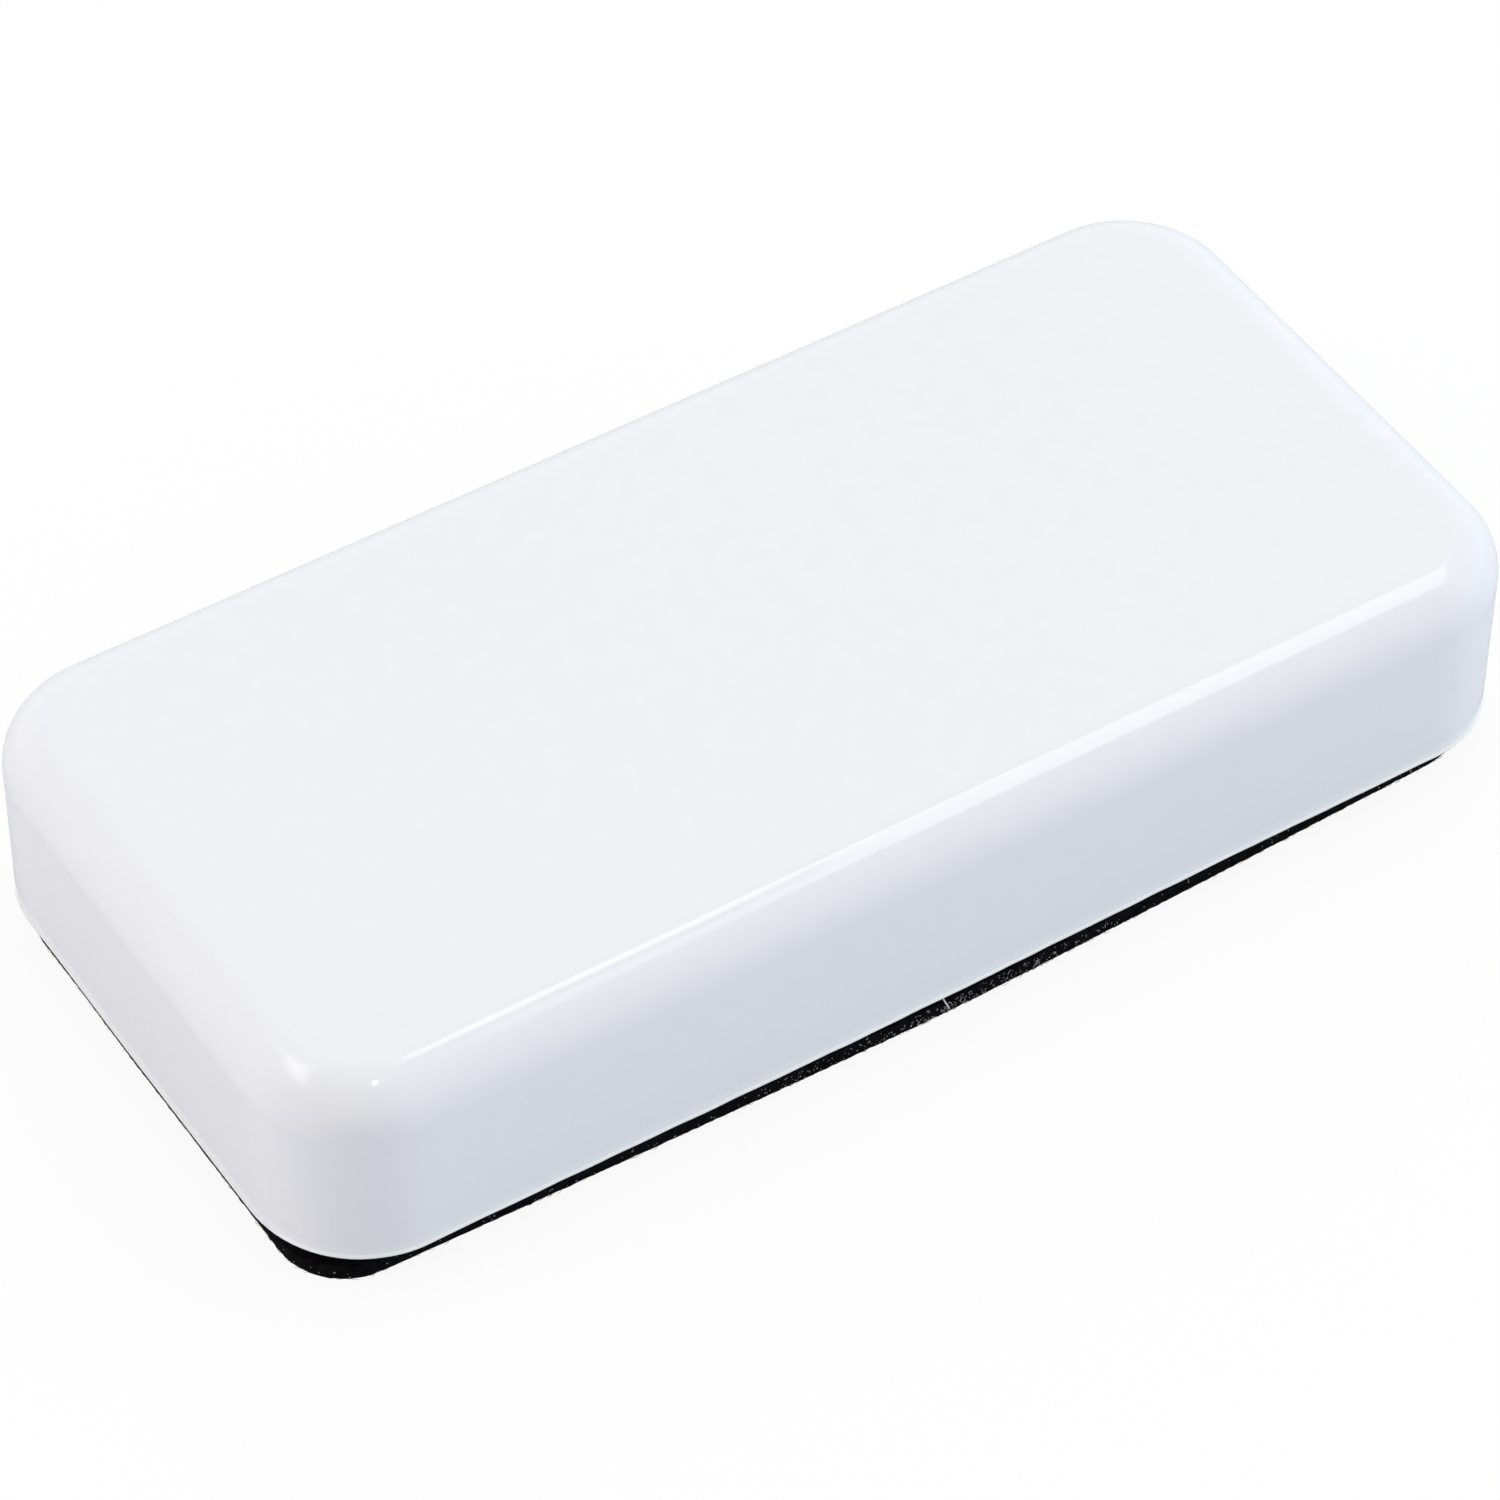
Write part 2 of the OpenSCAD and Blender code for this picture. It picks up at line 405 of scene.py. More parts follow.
def black_foam():
    """Closed-cell foam cut with a die: near black, with fine pores."""
    n = Nodes("black_foam")
    pores = n.cells(0.16 * MM)
    cut = n.noise(0.5 * MM, detail=3, stretch=(1, 1, 0.3))
    shade = n.noise(1.6 * MM, detail=3)
    base = n.blend(
        n.remap(shade, 0.35, 0.7, 0, 1), (0.0012, 0.0012, 0.0014), (0.0034, 0.0034, 0.0038)
    )
    normal = n.bump(pores, 0.03 * MM)
    normal = n.bump(cut, 0.03 * MM, below=normal)
    n.set(Base_Color=base, Roughness=n.remap(shade, 0.3, 0.7, 0.78, 0.95), Normal=normal)
    n.set(Specular_IOR_Level=0.01)
    return n.material


def black_felt():
    """Needled felt: matted fibres at a fine scale, some of them lighter."""
    n = Nodes("black_felt")
    fibres = n.noise(0.09 * MM, detail=4, roughness=0.7)
    mat = n.noise(0.7 * MM, detail=4, roughness=0.65)
    base = n.blend(
        n.remap(mat, 0.35, 0.7, 0, 1), (0.0015, 0.0015, 0.0018), (0.008, 0.008, 0.009)
    )
    base = n.blend(n.remap(fibres, 0.62, 0.8, 0, 0.5), base, (0.05, 0.05, 0.055))
    normal = n.bump(mat, 0.16 * MM)
    normal = n.bump(fibres, 0.05 * MM, below=normal)
    n.set(Base_Color=base, Roughness=n.remap(mat, 0.3, 0.7, 0.88, 1.0), Normal=normal)
    n.set(Sheen_Weight=0.012, Sheen_Roughness=0.5, Specular_IOR_Level=0.015)
    return n.material


def fibre(name, dark, light):
    """Loose fibres, some paler than others."""
    n = Nodes(name)
    tone = n.noise(0.8 * MM, detail=3, roughness=0.8)
    fine = n.noise(0.05 * MM, detail=1)
    n.set(
        Base_Color=n.blend(n.remap(tone, 0.4, 0.68, 0, 1), dark, light),
        Roughness=n.remap(fine, 0.3, 0.7, 0.6, 0.8),
        Normal=n.bump(fine, 0.004 * MM),
    )
    n.set(Specular_IOR_Level=0.03)
    return n.material


def ferrite():
    """Sintered magnet: dark grey, dull, with a fine grain and chipped specks."""
    n = Nodes("ferrite")
    grain = n.noise(0.12 * MM, detail=4, roughness=0.7)
    chips = n.cells(0.9 * MM)
    base = n.blend(
        n.remap(grain, 0.35, 0.7, 0, 1), (0.045, 0.045, 0.048), (0.085, 0.085, 0.09)
    )
    base = n.blend(n.remap(chips, 0.0, 0.12, 0.5, 0), base, (0.16, 0.16, 0.165))
    n.set(
        Base_Color=base,
        Roughness=n.remap(grain, 0.3, 0.7, 0.5, 0.7),
        Normal=n.bump(grain, 0.02 * MM),
    )
    return n.material


def adhesive(name, thin, thick, specular=0.5):
    """Pressed adhesive: uneven, with small bubbles."""
    n = Nodes(name)
    flow = n.noise(2.2 * MM, detail=3)
    bubbles = n.cells(0.6 * MM)
    base = n.blend(n.remap(flow, 0.3, 0.7, 0, 1), thin, thick)
    base = n.blend(n.remap(bubbles, 0.0, 0.2, 0.35, 0), base, thin)
    n.set(
        Base_Color=base,
        Roughness=n.remap(flow, 0.3, 0.7, 0.32, 0.5),
        Normal=n.bump(bubbles, 0.02 * MM, below=n.bump(flow, 0.05 * MM)),
    )
    n.set(Specular_IOR_Level=specular)
    return n.material


# ---------------------------------------------------------------- shell

# Points along each long side, each end and each corner, and rings round each part of it
SHELL_COUNTS = (100, 36, 20)
TOP_STEPS = 12
EDGE_STEPS = 28
SIDE_STEPS = 14
LIP_STEPS = 4
RIM_STEPS = 6
INSIDE_STEPS = 6
INNER_EDGE_STEPS = 8
CEILING_STEPS = 6
RIB_STEPS = 8


def shell_outline(inset):
    """Plan outline of the shell, drawn in from the rim's outside."""
    return round_outline(
        SHELL_HIGH.x - inset,
        SHELL_HIGH.y - inset,
        [CORNER_RADIUS - inset] * 4,
        SHELL_COUNTS,
    )


def side_inset(height):
    """How far the drafted side lies in from the rim at a height above it."""
    return height * math.tan(DRAFT)


def fillet_rings(inset, top, radius, steps):
    """Rings round an edge, from the side up to a flat top; inset is the side's own there."""
    rings = []
    for i in range(steps + 1):
        a = math.radians(90 * i / steps)
        rings.append(ring(
            shell_outline(inset + radius * (1 - math.cos(a))),
            top - radius * (1 - math.sin(a)),
        ))
    return rings


def end_hollow(y):
    """How far an end stands back at a place along it."""
    return END_HOLLOW * np.cos(np.pi / 2 * np.clip((y - HOLLOW_MIDDLE) / HOLLOW_REACH, -1, 1)) ** 2


def moulded_sides(points):
    """The long sides stand out near their middle and the ends draw in, most at the rim."""
    x, y, z = points.T
    share = np.clip((TOP_Z - z) / (TOP_Z - RIM_Z), 0, 1)
    side_reach = np.clip(np.abs(y) / SHELL_HIGH.y, 0, 1) ** SIDE_POWER
    end_reach = np.clip(np.abs(x) / SHELL_HIGH.x, 0, 1) ** END_POWER
    swell = np.cos(np.pi / 2 * np.clip((x - BOW_MIDDLE) / BOW_REACH, -1, 1)) ** 2
    # The two long sides read the noise in different places
    wave = np.array([noise.noise((px / RIM_WAVE_LENGTH, 3.0 * math.copysign(1, py), 0.5))
                     for px, py in zip(x, y)])
    out = share * (SIDE_BOW * swell - SIDE_DRAW_IN) + share ** RIM_WAVE_POWER * RIM_WAVE * wave
    drawn_in = share * (END_DRAW_IN + end_hollow(y)) * end_reach
    return np.column_stack([x - np.sign(x) * drawn_in, y + np.sign(y) * out * side_reach, z])


def outside_rings():
    """From the middle of the top down the side to the top of the rim's lip."""
    side_top = TOP_Z - RIM_Z - EDGE_RADIUS
    inset = side_inset(side_top)
    flat = shell_outline(inset + EDGE_RADIUS + EDGE_HOLD)
    rings = closing_rings(flat, TOP_Z, TOP_STEPS)[::-1]
    rings.append(ring(flat, TOP_Z))
    rings += fillet_rings(inset, TOP_Z, EDGE_RADIUS, EDGE_STEPS)[::-1]
    start, end = side_top - EDGE_HOLD, RIM_LIP_HEIGHT + RIM_LIP
    for i in range(SIDE_STEPS + 1):
        h = start + (end - start) * i / SIDE_STEPS
        rings.append(ring(shell_outline(side_inset(h)), RIM_Z + h))
    return rings


def rim_rings():
    """Round the fine lip and the rim's edge, down to its flat underside."""
    rings = []
    for i in range(1, LIP_STEPS + 1):
        a = math.radians(90 * i / LIP_STEPS)
        rings.append(ring(
            shell_outline(-RIM_LIP * math.sin(a)),
            RIM_Z + RIM_LIP_HEIGHT + RIM_LIP * math.cos(a),
        ))
    for i in range(RIM_STEPS + 1):
        a = math.radians(90 * i / RIM_STEPS)
        rings.append(ring(
            shell_outline(RIM_RADIUS * (1 - math.cos(a)) - RIM_LIP),
            RIM_Z + RIM_RADIUS * (1 - math.sin(a)),
        ))
    return rings


def inside_rings():
    """From the mouth's inner edge up the wall to the middle of the ceiling."""
    inner_edge = EDGE_RADIUS - WALL
    ceiling = TOP_Z - TOP_WALL
    wall_top = ceiling - RIM_Z - inner_edge
    rings = []
    for i in range(INSIDE_STEPS + 1):
        h = wall_top * i / INSIDE_STEPS
        rings.append(ring(shell_outline(WALL + side_inset(h)), RIM_Z + h))
    inner = fillet_rings(WALL + side_inset(wall_top), ceiling, inner_edge, INNER_EDGE_STEPS)
    rings += inner[1:]
    return rings + closing_rings(inner[-1][:, :2], ceiling, CEILING_STEPS)


def make_shell(material):
    """The moulded shell as one closed skin, hollow, open at the rim."""
    rings = outside_rings() + rim_rings() + inside_rings()
    shell = loft("shell_moulding", rings, material, moulded_sides)
    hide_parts("shell")


def rib_reach(half, z):
    """Half length of a rib at a height: it ends inside the wall, which curves in at the top."""
    arc_start = TOP_Z - EDGE_RADIUS
    rise = min(max(z - arc_start, 0), TOP_Z - TOP_WALL - arc_start)
    middle_radius = EDGE_RADIUS - WALL / 2
    curve = middle_radius - math.sqrt(middle_radius ** 2 - rise ** 2)
    return half - WALL / 2 - side_inset(z - RIM_Z) - curve


def rib_bar(points, faces, place, half_length, along_x):
    """One rib, thinner at its free edge, that runs into the walls and the top."""
    low, high = TOP_Z - TOP_WALL - RIB_HEIGHT, TOP_Z - TOP_WALL / 2
    first = len(points)
    for i in range(RIB_STEPS + 1):
        t = i / RIB_STEPS
        z = low + t * (high - low)
        reach = rib_reach(half_length, z)
        half_width = RIB_THICKNESS / 2 * (0.85 + 0.15 * t)
        for u, v in ((-1, -1), (1, -1), (1, 1), (-1, 1)):
            if along_x:
                points.append((u * reach, place + v * half_width, z))
            else:
                points.append((place + u * half_width, v * reach, z))
    for i in range(RIB_STEPS):
        for k in range(4):
            a, b = 4 * i + k, 4 * i + (k + 1) % 4
            faces.append((first + a, first + b, first + b + 4, first + a + 4))
    faces.append(tuple(first + k for k in (3, 2, 1, 0)))
    faces.append(tuple(first + 4 * RIB_STEPS + k for k in range(4)))


def make_ribs(material):
    """The stiffening ribs under the top wall."""
    points, faces = [], []
    inside_x, inside_y = SHELL_HIGH.x - WALL, SHELL_HIGH.y - WALL
    for i in range(1, CROSS_RIBS + 1):
        place = 2 * inside_x * (i / (CROSS_RIBS + 1) - 0.5)
        rib_bar(points, faces, place, SHELL_HIGH.y, False)
    for i in range(1, LONG_RIBS + 1):
        place = 2 * inside_y * (i / (LONG_RIBS + 1) - 0.5)
        rib_bar(points, faces, place, SHELL_HIGH.x, True)
    ribs = mesh_object("shell_ribs", points, faces, material)
    ribs.data.polygons.foreach_set("use_smooth", [False] * len(ribs.data.polygons))


# ---------------------------------------------------------------- pad

# Points along each long side, each end and each corner, and rings round each part of it
PAD_COUNTS = (230, 100, 26)
FELT_FACE_STEPS = 46
FELT_EDGE_STEPS = 16
FELT_TOP_STEPS = 12
FOAM_COUNTS = (200, 84, 20)
FOAM_FACE_STEPS = 8
FOAM_EDGE_STEPS = 9
FOAM_BLOCK_STEPS = 6
FILM_STEPS = 6
POCKET_SEGMENTS = 96
PAD_RADII = (PAD_RIGHT_RADIUS, PAD_FAR_LEFT_RADIUS, PAD_LEFT_RADIUS, PAD_RIGHT_RADIUS)


def pad_outline(inset, counts=PAD_COUNTS):
    """Plan outline of the pad, drawn in from its cut edge; its ends are hollow as the shell's."""
    half_x = FELT_HIGH.x - PAD_END_TRIM - inset
    half_y = FELT_HIGH.y - PAD_BOW - inset
    radii = [radius - inset for radius in PAD_RADII]
    outline = round_outline(half_x, half_y, radii, counts, PAD_BOW)
    x, y = outline.T
    back = end_hollow(y) * (np.abs(x) / half_x) ** PAD_END_POWER
    return np.column_stack([x - np.sign(x) * back, y])


def roughened(points, amount, size, highest, lowest):
    """Moves points by smooth noise, and keeps them between two heights."""
    moved = []
    for p in points:
        shift = noise.noise_vector(Vector(p) / size)
        finer = noise.noise_vector(Vector(p) / size * 3.1)
        moved.append(Vector(p) + (shift + finer * 0.5) * amount)
    moved = np.array(moved)
    moved[:, 2] = np.clip(moved[:, 2], lowest, highest)
    return moved


def cut_pockets(foam):
    """Cuts the two round magnet pockets up into the foam."""
    radius = (MAGNET_HIGH.x - MAGNET_LOW.x) / 2 + POCKET_GAP
    centre = (MAGNET_HIGH.x + MAGNET_LOW.x) / 2
    depth = DAB_HIGH.z - FOAM_LOW.z + POCKET_OVERCUT
    for side in (-1, 1):
        bm = bmesh.new()
        bmesh.ops.create_cone(
            bm, cap_ends=True, segments=POCKET_SEGMENTS, radius1=radius, radius2=radius,
            depth=depth, matrix=Matrix.Translation((side * centre, 0, DAB_HIGH.z - depth / 2)),
        )
        mesh = bpy.data.meshes.new("pocket_cutter")
        bm.to_mesh(mesh)
        bm.free()
        cutter = bpy.data.objects.new("pocket_cutter", mesh)
        bpy.context.scene.collection.objects.link(cutter)
        cut = foam.modifiers.new("pocket", "BOOLEAN")
        cut.operation, cut.solver, cut.object = "DIFFERENCE", "EXACT", cutter
        bpy.context.view_layer.update()
        evaluated = foam.evaluated_get(bpy.context.evaluated_depsgraph_get())
        done = bpy.data.meshes.new_from_object(evaluated)
        foam.modifiers.clear()
        foam.data = done
        bpy.data.objects.remove(cutter)


def make_foam(material):
    """The foam block in the shell, which spreads and bulges a little under the rim."""
    bottom, ledge, top = FOAM_LOW.z, RIM_Z - RIM_GAP, FOAM_HIGH.z
    face = pad_outline(FOAM_INSET, FOAM_COUNTS)
    rings = closing_rings(face, bottom, FOAM_FACE_STEPS)[::-1]
    for i in range(FOAM_EDGE_STEPS + 1):
        t = i / FOAM_EDGE_STEPS
        inset = FOAM_INSET - FOAM_BULGE * math.sin(math.pi * t)
        rings.append(ring(pad_outline(inset, FOAM_COUNTS), bottom + t * (ledge - bottom)))
    radii = [FOAM_CORNER_RADIUS] * 4
    block = round_outline(FOAM_BLOCK_HALF.x, FOAM_BLOCK_HALF.y, radii, FOAM_COUNTS)
    rings.append(ring(block, ledge))
    for i in range(1, FOAM_BLOCK_STEPS + 1):
        rings.append(ring(block, RIM_Z + (top - RIM_Z) * i / FOAM_BLOCK_STEPS))
    rings += closing_rings(block, top, FOAM_FACE_STEPS)

    def change(points):
        z = points[:, 2]
        shown = (z > bottom + 1e-6) & (z < RIM_Z - 0.05 * MM)
        moved = roughened(points, *FOAM_UNEVEN, ledge, bottom)
        return np.where(shown[:, None], moved, points)

    foam = loft("foam_block", rings, material, change)
    cut_pockets(foam)
    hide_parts("foam_core")


def felt_inset(t):
    """How far the felt's edge is rounded in, from its wiping face at 0 to its glued one at 1."""
    low = max(0.0, 1 - t / FELT_ROUNDED_SHARE)
    high = max(0.0, (t - (1 - FELT_TOP_ROUNDED_SHARE)) / FELT_TOP_ROUNDED_SHARE)
    return low ** 2 * FELT_ROUNDING + high ** 2 * FELT_TOP_ROUNDING - FELT_SPREAD


def make_felt(material):
    """The felt sheet: a soft, slightly ragged cut edge and a fuzzy face."""
    bottom, face, top = FELT_LOW.z, FELT_LOW.z + FELT_LIFT, FELT_HIGH.z
    outline = pad_outline(FELT_ROUNDING - FELT_SPREAD)
    rings = closing_rings(outline, face, FELT_FACE_STEPS)[::-1]
    for i in range(FELT_EDGE_STEPS + 1):
        t = i / FELT_EDGE_STEPS
        rings.append(ring(pad_outline(felt_inset(t)), face + t * (top - face)))
    rings += closing_rings(rings[-1][:, :2], top, FELT_TOP_STEPS)

    def change(points):
        z = points[:, 2]
        moved = roughened(points, *FELT_UNEVEN, top, bottom)
        return np.where((z < top - 1e-6)[:, None], moved, points)

    felt = loft("felt_sheet", rings, material, change)
    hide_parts("felt_pad")


def make_felt_film(material):
    """The adhesive sheet between the foam and the felt, cut with them."""
    edge = pad_outline(FILM_INSET)
    beside = pad_outline(2 * FILM_INSET)
    rings = closing_rings(beside, FILM_LOW.z, FILM_STEPS)[::-1]
    rings += [ring(beside, FILM_LOW.z), ring(edge, FILM_LOW.z)]
    rings += [ring(edge, FILM_HIGH.z), ring(beside, FILM_HIGH.z)]
    rings += closing_rings(beside, FILM_HIGH.z, FILM_STEPS)
    film = loft("felt_film", rings, material)
    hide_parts("felt_adhesive_sheet")


# ---------------------------------------------------------------- loose fibres

def edge_points(count, rng, inset):
    """Random places round the pad's edge: points, outward and along directions."""
    outline = pad_outline(inset)
    following = np.roll(outline, -1, axis=0)
    lengths = np.linalg.norm(following - outline, axis=1)
    reach = np.cumsum(lengths)
    at = rng.random(count) * reach[-1]
    i = np.searchsorted(reach, at)
    share = (at - (reach[i] - lengths[i])) / np.maximum(lengths[i], 1e-9)
    points = outline[i] + (following[i] - outline[i]) * share[:, None]
    along = (following[i] - outline[i]) / np.maximum(lengths[i], 1e-9)[:, None]
    outward = np.column_stack([along[:, 1], -along[:, 0]])
    return points, outward, along


def fibre_paths(roots, heading, lengths, curl, rng):
    """Curling centre lines from their roots, as fibres x points x 3."""
    count = len(roots)
    heading = heading / np.linalg.norm(heading, axis=1, keepdims=True)
    across = np.cross(heading, rng.normal(size=(count, 3)))
    across /= np.linalg.norm(across, axis=1, keepdims=True)
    third = np.cross(heading, across)
    phase = rng.random(count) * 2 * math.pi
    turns = rng.uniform(0.3, 1.2, count) * 2 * math.pi
    t = np.linspace(0, 1, FIBRE_STEPS + 1)[None, :]
    wave_a = np.sin(phase[:, None] + turns[:, None] * t) - np.sin(phase)[:, None]
    wave_b = np.cos(phase[:, None] + turns[:, None] * t) - np.cos(phase)[:, None]
    size = (lengths * curl)[:, None, None]
    return (
        roots[:, None, :]
        + heading[:, None, :] * (lengths[:, None] * t)[:, :, None]
        + size * (across[:, None, :] * wave_a[:, :, None] + third[:, None, :] * wave_b[:, :, None])
    )


def held_in(paths, roots, outward, limit):
    """Paths that stand out from their roots by no more than a limit."""
    out = ((paths - roots[:, None, :])[..., :2] * outward[:, None, :]).sum(axis=-1)
    held = paths.copy()
    held[..., :2] -= np.maximum(out - limit, 0)[..., None] * outward[:, None, :]
    return held


def fibre_tubes(name, paths, radii, material):
    """Thin tubes along the paths, none lower than the wiping face."""
    lowest, sides = FELT_LOW.z, FIBRE_SIDES
    count, rows = paths.shape[:2]
    paths = paths.copy()
    paths[..., 2] = np.maximum(paths[..., 2], lowest + radii[:, None])
    heading = paths[:, -1] - paths[:, 0]
    heading /= np.linalg.norm(heading, axis=1, keepdims=True)
    across = np.cross(heading, (0.31, 0.52, 0.79))
    across /= np.linalg.norm(across, axis=1, keepdims=True)
    third = np.cross(heading, across)
    taper = np.interp(np.linspace(0, 1, rows), (0, 0.2, 0.6, 0.8, 1), (0.7, 1, 1, 0.8, 0.35))
    angle = np.arange(sides) * 2 * math.pi / sides
    spokes = (
        across[:, None, None, :] * np.cos(angle)[None, None, :, None]
        + third[:, None, None, :] * np.sin(angle)[None, None, :, None]
    )
    widths = radii[:, None, None, None] * taper[None, :, None, None]
    points = paths[:, :, None, :] + spokes * widths
    points[..., 2] = np.maximum(points[..., 2], lowest)
    index = np.arange(count * rows * sides).reshape(count, rows, sides)
    here, there = index[:, :-1, :], index[:, 1:, :]
    quads = np.stack(
        [here, np.roll(here, -1, axis=2), np.roll(there, -1, axis=2), there], axis=-1
    ).reshape(-1, 4)
    faces = [tuple(q) for q in quads.tolist()]
    faces += [tuple(f) for f in index[:, 0, ::-1].tolist()]
    faces += [tuple(f) for f in index[:, -1, :].tolist()]
    tubes = mesh_object(name, points.reshape(-1, 3), faces, material)


def make_edge_fibres(material):
    """Fibres that lie along the felt's cut edge and stand out of it a little."""
    rng = np.random.default_rng(EDGE_SEED)
    count = EDGE_FIBRES
    points, outward, along = edge_points(count, rng, 0.06 * MM - FELT_SPREAD)
    height = FELT_LOW.z + (0.05 + 1.45 * rng.random(count)) * MM
    roots = np.column_stack([points, height])
    sway = rng.normal(size=(count, 3)) * (0.1, 0.1, 0.22)
    ways = rng.choice([-1, 1], count)[:, None]
    heading = np.column_stack([along * ways + outward * 0.06, np.zeros(count)]) + sway
    lengths = rng.uniform(0.25, 0.8, count) * MM
    radii = rng.uniform(0.009, 0.016, count) * MM
    paths = fibre_paths(roots, heading, lengths, 0.1, rng)
    paths = held_in(paths, roots, outward, 0.09 * MM)
    fibre_tubes("felt_edge_fibres", paths, radii, material)


def inside_pad(points, margin):
    """Which points lie inside the pad's outline by at least a margin."""
    x, y = np.abs(points[..., 0]), np.abs(points[..., 1])
    left_radius = np.where(points[..., 1] > 0, PAD_FAR_LEFT_RADIUS, PAD_LEFT_RADIUS)
    radius = np.where(points[..., 0] > 0, PAD_RIGHT_RADIUS, left_radius)
    reach = FELT_HIGH.x - radius
    side = FELT_HIGH.y - PAD_BOW * np.clip(x / reach, 0, 1) ** PAD_BOW_POWER
    over_x, over_y = np.maximum(x - reach, 0), np.maximum(y - side + radius, 0)
    return np.hypot(over_x, over_y) < radius - margin


def make_face_fibres(material):
    """Fibres that lie matted on the wiping face."""
    rng = np.random.default_rng(FACE_SEED)
    count = FACE_FIBRES
    x = rng.uniform(FELT_LOW.x, FELT_HIGH.x, count)
    y = rng.uniform(FELT_LOW.y, FELT_HIGH.y, count)
    roots = np.column_stack([x, y, FELT_LOW.z + rng.uniform(0.0, 0.09, count) * MM])
    a = rng.random(count) * 2 * math.pi
    heading = np.column_stack([np.cos(a), np.sin(a), rng.normal(size=count) * 0.02])
    lengths = rng.uniform(1.0, 3.6, count) * MM
    radii = rng.uniform(0.012, 0.022, count) * MM
    paths = fibre_paths(roots, heading, lengths, 0.12, rng)
    inside = inside_pad(paths, 0.3 * MM).all(axis=1)
    fibre_tubes("felt_face_fibres", paths[inside], radii[inside], material)


def lint_share(point):
    """How much lint the felt's edge holds there: most near the middle of the front."""
    x, y = point
    patch = noise.noise((x / LINT_PATCH, y / LINT_PATCH, 0.3))
    if y < FRONT_Y:
        return 0.04 + 0.95 * math.exp(-(x / LINT_REACH) ** 2) * (0.75 + patch)
    return 0.02 + 0.12 * max(patch, 0)


def make_lint(material):
    """Short pale curls of lint caught in the felt's edge, in loose clusters."""
    rng = np.random.default_rng(LINT_SEED)
    points, outward, along = edge_points(LINT_FIBRES, rng, -FELT_SPREAD)
    share = np.array([lint_share(p) for p in points])
    keep = rng.random(len(points)) < share
    points, outward, along = points[keep], outward[keep], along[keep]
    count = len(points)
    height = FELT_LOW.z + (0.1 + 1.4 * rng.beta(1.3, 1.5, count)) * MM
    roots = np.column_stack([points + outward * 0.03 * MM, height])
    heading = np.column_stack([along * 0.6, np.ones(count)]) + rng.normal(size=(count, 3)) * 0.5
    lengths = rng.uniform(0.07, 0.2, count) * MM
    radii = rng.uniform(0.02, 0.042, count) * MM
    paths = fibre_paths(roots, heading, lengths, 0.2, rng)
    paths = held_in(paths, roots, outward, 0.08 * MM)
    fibre_tubes("felt_lint", paths, radii, material)


def make_thread(material):
    """One white thread caught across the front of the foam and the felt."""
    x = np.array((-0.30, -0.22, -0.1, 0.02, 0.16, 0.3, 0.44)) * MM
    z = np.array((2.25, 1.9, 1.58, 1.3, 1.02, 0.7, 0.36)) * MM
    y = np.full(len(x), FELT_LOW.y - FELT_SPREAD - 0.05 * MM)
    path = np.column_stack([x, y, z])[None]
    fibre_tubes("felt_thread", path, np.array([THREAD_RADIUS]), material)


# ---------------------------------------------------------------- room

def make_camera():
    """A long lens that looks down on the near left corner."""
    az, el = math.radians(CAMERA_AZIMUTH), math.radians(CAMERA_ELEVATION)
    back = Vector((math.sin(az) * math.cos(el), -math.cos(az) * math.cos(el), math.sin(el)))
    right = Vector((0, 0, 1)).cross(back).normalized()
    up = back.cross(right)
    roll = math.radians(CAMERA_ROLL)
    rolled_right = right * math.cos(roll) + up * math.sin(roll)
    rolled_up = up * math.cos(roll) - right * math.sin(roll)
    place = (
        Vector((0, 0, RIM_Z))
        + back * CAMERA_DISTANCE
        + rolled_right * CAMERA_ASIDE
        + rolled_up * CAMERA_UP
    )
    data = bpy.data.cameras.new("camera")
    data.lens, data.sensor_width = CAMERA_LENS, SENSOR_WIDTH
    data.clip_start, data.clip_end = 0.01, 20
    camera = bpy.data.objects.new("camera", data)
    turn = Matrix((rolled_right, rolled_up, back)).transposed()
    camera.matrix_world = Matrix.Translation(place) @ turn.to_4x4()
    bpy.context.scene.collection.objects.link(camera)
    bpy.context.scene.camera = camera


def area_light(name, place, height, size, radiance, turn):
    """A rectangular lamp that faces down; radiance is its brightness."""
    data = bpy.data.lights.new(name, "AREA")
    data.shape = "RECTANGLE"
    data.size, data.size_y = size
    data.energy = radiance * size[0] * size[1] * math.pi
    lamp = bpy.data.objects.new(name, data)
    lamp.location = (*place, height)
    lamp.rotation_euler.z = math.radians(turn)
    bpy.context.scene.collection.objects.link(lamp)


def make_lights():
    """Soft boxes and strips above the object."""
    for i, (name, place, size, radiance, turn) in enumerate(LAMPS):
        area_light(name, place, LAMP_HEIGHT + i * LAMP_STEP, size, radiance, turn)


def seen_ray(tree, gloss=1.0):
    """1 for camera and transmission rays and gloss for glossy rays, or else 0."""
    path = tree.nodes.new("ShaderNodeLightPath")
    total = path.outputs["Is Camera Ray"]
    for kind, share in (("Is Glossy Ray", gloss), ("Is Transmission Ray", 1.0)):
        part = tree.nodes.new("ShaderNodeMath")
        part.operation = "MULTIPLY"
        part.inputs[1].default_value = share
        tree.links.new(path.outputs[kind], part.inputs[0])
        both = tree.nodes.new("ShaderNodeMath")
        both.operation = "MAXIMUM"
        tree.links.new(total, both.inputs[0])
        tree.links.new(part.outputs[0], both.inputs[1])
        total = both.outputs[0]
    return total


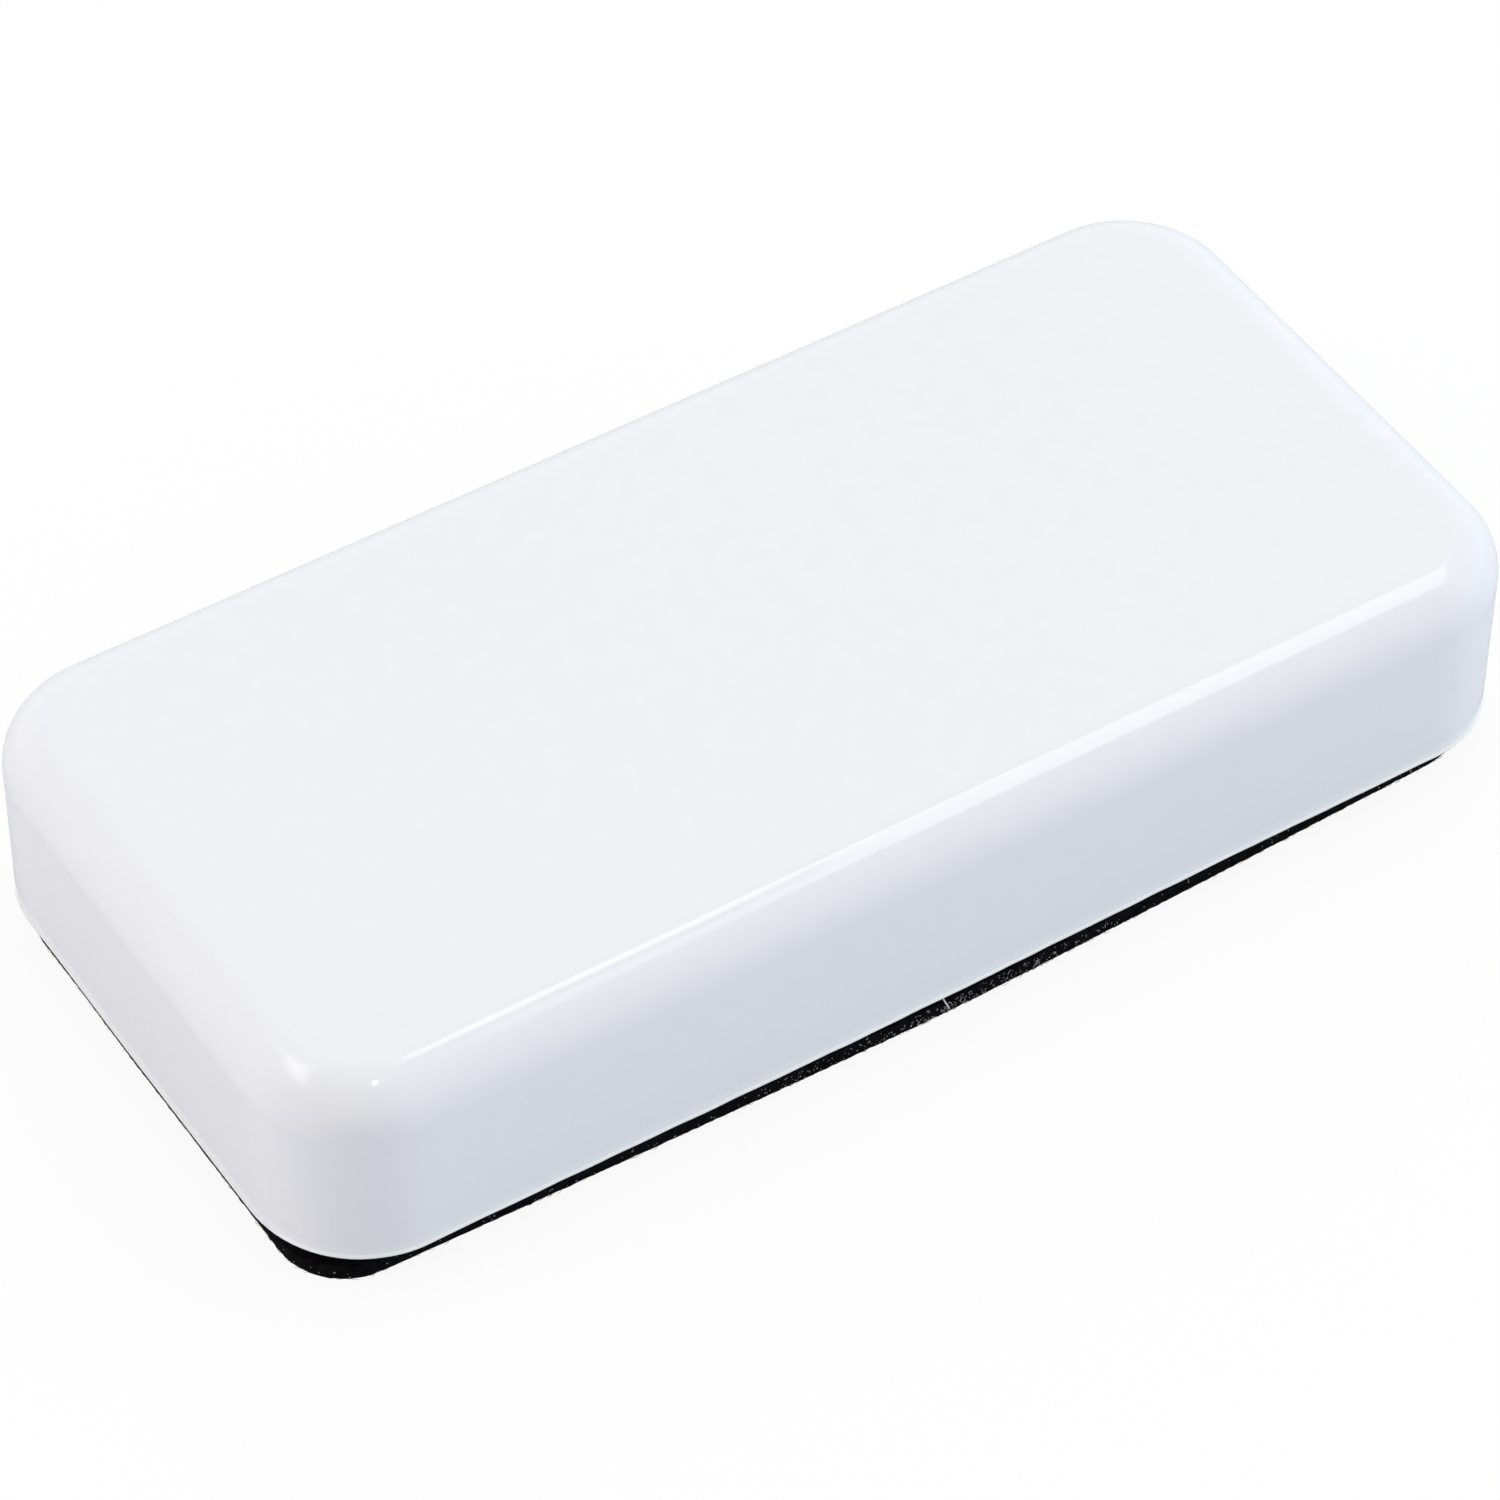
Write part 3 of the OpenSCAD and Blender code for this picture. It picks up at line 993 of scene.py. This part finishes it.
def sky_colour(tree):
    """The sum of soft lobes of light, each brightest in its own direction."""
    direction = tree.nodes.new("ShaderNodeTexCoord").outputs["Generated"]
    total = None
    for toward, colour in SKY:
        along = tree.nodes.new("ShaderNodeVectorMath")
        along.operation = "DOT_PRODUCT"
        along.inputs[1].default_value = Vector(toward).normalized()
        tree.links.new(direction, along.inputs[0])
        facing = tree.nodes.new("ShaderNodeMath")
        facing.operation = "MAXIMUM"
        facing.inputs[1].default_value = 0
        tree.links.new(along.outputs["Value"], facing.inputs[0])
        lobe = tree.nodes.new("ShaderNodeMath")
        lobe.operation = "POWER"
        lobe.inputs[1].default_value = SKY_POWER
        tree.links.new(facing.outputs[0], lobe.inputs[0])
        tint = tree.nodes.new("ShaderNodeVectorMath")
        tint.operation = "MULTIPLY_ADD"
        tint.inputs[1].default_value = colour
        tree.links.new(lobe.outputs[0], tint.inputs[0])
        if total:
            tree.links.new(total, tint.inputs[2])
        else:
            tint.inputs[2].default_value = (0, 0, 0)
        total = tint.outputs["Vector"]
    return total


def make_world():
    """A soft white room, plain white where it is seen."""
    world = bpy.data.worlds.new("room")
    world.use_nodes = True
    tree = world.node_tree
    tree.nodes.clear()
    output = tree.nodes.new("ShaderNodeOutputWorld")
    lit = tree.nodes.new("ShaderNodeBackground")
    seen = tree.nodes.new("ShaderNodeBackground")
    seen.inputs["Color"].default_value = (1, 1, 1, 1)
    mix = tree.nodes.new("ShaderNodeMixShader")
    tree.links.new(sky_colour(tree), lit.inputs["Color"])
    tree.links.new(seen_ray(tree), mix.inputs[0])
    tree.links.new(lit.outputs[0], mix.inputs[1])
    tree.links.new(seen.outputs[0], mix.inputs[2])
    tree.links.new(mix.outputs[0], output.inputs["Surface"])
    bpy.context.scene.world = world


def make_floor():
    """A plain table: white with a soft shadow where it is seen, a pale blue grey as a light."""
    mesh = bpy.data.meshes.new("floor")
    r = FLOOR_REACH
    corners = [(-r, -r, 0), (r, -r, 0), (r, r, 0), (-r, r, 0)]
    mesh.from_pydata(corners, [], [(0, 1, 2, 3)])
    material = bpy.data.materials.new("floor")
    material.use_nodes = True
    tree = material.node_tree
    tree.nodes.clear()
    output = tree.nodes.new("ShaderNodeOutputMaterial")
    paint = tree.nodes.new("ShaderNodeBsdfDiffuse")
    paint.inputs["Color"].default_value = FLOOR_COLOUR
    white = tree.nodes.new("ShaderNodeBsdfDiffuse")
    white.inputs["Color"].default_value = (1, 1, 1, 1)
    glow = tree.nodes.new("ShaderNodeEmission")
    shown = tree.nodes.new("ShaderNodeMixShader")
    shown.inputs[0].default_value = 1 - SHADOW_SHARE
    tree.links.new(white.outputs[0], shown.inputs[1])
    tree.links.new(glow.outputs[0], shown.inputs[2])
    mix = tree.nodes.new("ShaderNodeMixShader")
    tree.links.new(seen_ray(tree, WHITE_IN_GLOSS), mix.inputs[0])
    tree.links.new(paint.outputs[0], mix.inputs[1])
    tree.links.new(shown.outputs[0], mix.inputs[2])
    tree.links.new(mix.outputs[0], output.inputs["Surface"])
    mesh.materials.append(material)
    floor = bpy.data.objects.new("floor", mesh)
    floor.location.z = FELT_LOW.z - FLOOR_DROP
    bpy.context.scene.collection.objects.link(floor)


# ---------------------------------------------------------------- assembly

def dress(node, material):
    """Gives a CAD node that stays its own material."""
    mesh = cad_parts[node].data
    mesh.materials.clear()
    mesh.materials.append(material)


def main():
    """Builds every piece and gives it its material, then makes the room round them."""
    plastic = white_plastic()
    make_shell(plastic)
    make_ribs(plastic)
    make_foam(black_foam())
    make_felt(black_felt())
    make_edge_fibres(fibre("felt_fibre", (0.002, 0.002, 0.0025), (0.022, 0.022, 0.025)))
    make_face_fibres(fibre("face_fibre", (0.006, 0.006, 0.007), (0.045, 0.045, 0.05)))
    make_lint(fibre("lint", (0.3, 0.3, 0.31), (0.85, 0.84, 0.85)))
    make_thread(fibre("thread", (0.82, 0.82, 0.83), (0.92, 0.92, 0.92)))
    magnet = ferrite()
    glue = adhesive("hot_glue", (0.6, 0.5, 0.3), (0.75, 0.66, 0.42))
    film = adhesive("adhesive_film", (0.002, 0.002, 0.002), (0.005, 0.005, 0.006), 0.015)
    for side in ("left", "right"):
        dress("magnet_" + side, magnet)
        dress("magnet_glue_" + side, glue)
    dress("core_adhesive_sheet", film)
    make_felt_film(film)
    make_camera()
    make_lights()
    make_world()
    make_floor()
    bpy.context.scene.view_settings.view_transform = "Standard"


main()
